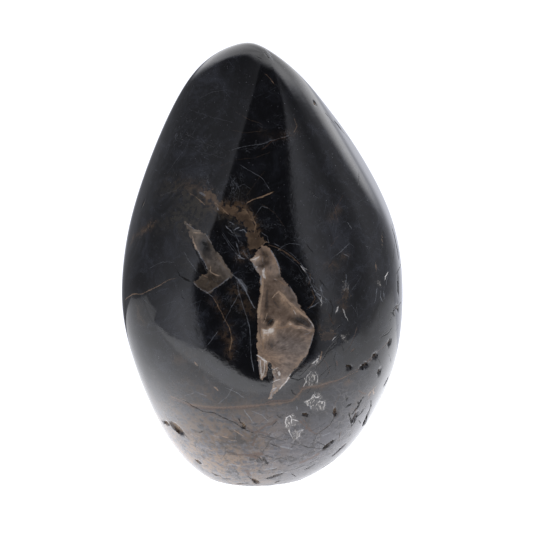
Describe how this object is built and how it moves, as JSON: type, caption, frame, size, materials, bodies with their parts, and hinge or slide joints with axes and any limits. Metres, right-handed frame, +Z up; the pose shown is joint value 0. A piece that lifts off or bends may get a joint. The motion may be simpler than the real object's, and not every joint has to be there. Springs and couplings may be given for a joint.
{
  "type": "smoky quartz freeform",
  "caption": "Polished near-black smoky quartz, egg-shaped with softly ground sides, standing upright on a small flat spot; one solid stone.",
  "frame": {"origin": "middle of the small flat spot that the stone stands on", "axes": "+Z up through the stone's length, -Y towards the side with the tan flake, +X to that side's right"},
  "size_m": [0.0702, 0.0636, 0.1127],
  "materials": {
    "polished_quartz": "hand polished, near black, with tan and rusty inclusions"
  },
  "bodies": {
    "root": {"smoky_quartz": "polished_quartz"}
  },
  "joints": []
}
